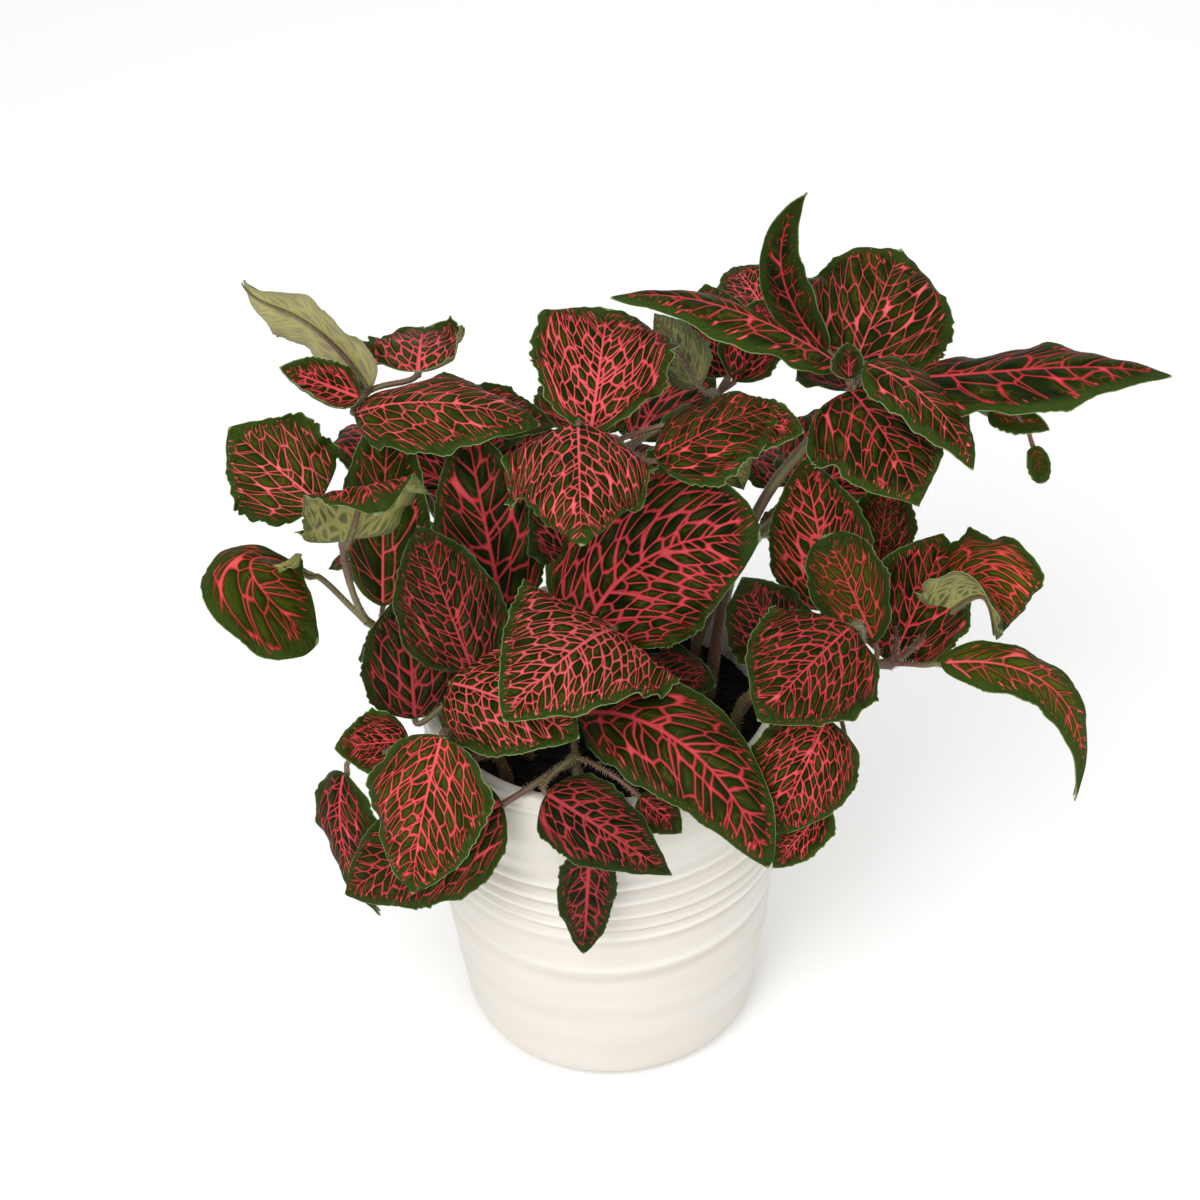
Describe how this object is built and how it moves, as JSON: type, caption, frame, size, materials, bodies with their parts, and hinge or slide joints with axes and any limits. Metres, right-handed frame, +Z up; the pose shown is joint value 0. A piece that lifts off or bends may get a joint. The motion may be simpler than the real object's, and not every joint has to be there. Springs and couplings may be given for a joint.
{
  "type": "potted nerve plant",
  "caption": "Nerve plant with pink-veined leaves on leafy shoots, growing in soil in a round ringed ceramic pot that stands on its flat foot.",
  "frame": {"origin": "middle of the pot's flat underside, on the surface it stands on", "axes": "+Z up along the pot's axis; the pictured side faces -Y; +X is to the right as seen from there"},
  "size_m": [0.3134, 0.2273, 0.3041],
  "materials": {
    "pot_ceramic": "off-white satin glaze with soft throwing rings",
    "soil": "dark, loose, matt potting mix",
    "leaf": "dark green blade under a pink net of veins, slight satin sheen"
  },
  "bodies": {
    "root": {"pot": "pot_ceramic", "soil": "soil", "shoot_upper_left": "leaf", "shoot_left": "leaf", "shoot_middle_left": "leaf", "shoot_middle": "leaf", "shoot_upper_middle": "leaf", "shoot_behind_middle": "leaf", "shoot_upper_right": "leaf", "shoot_right": "leaf", "shoot_front": "leaf", "shoot_front_left": "leaf", "shoot_back_left": "leaf", "shoot_back": "leaf", "shoot_back_right": "leaf", "shoot_low_left": "leaf"}
  },
  "joints": []
}
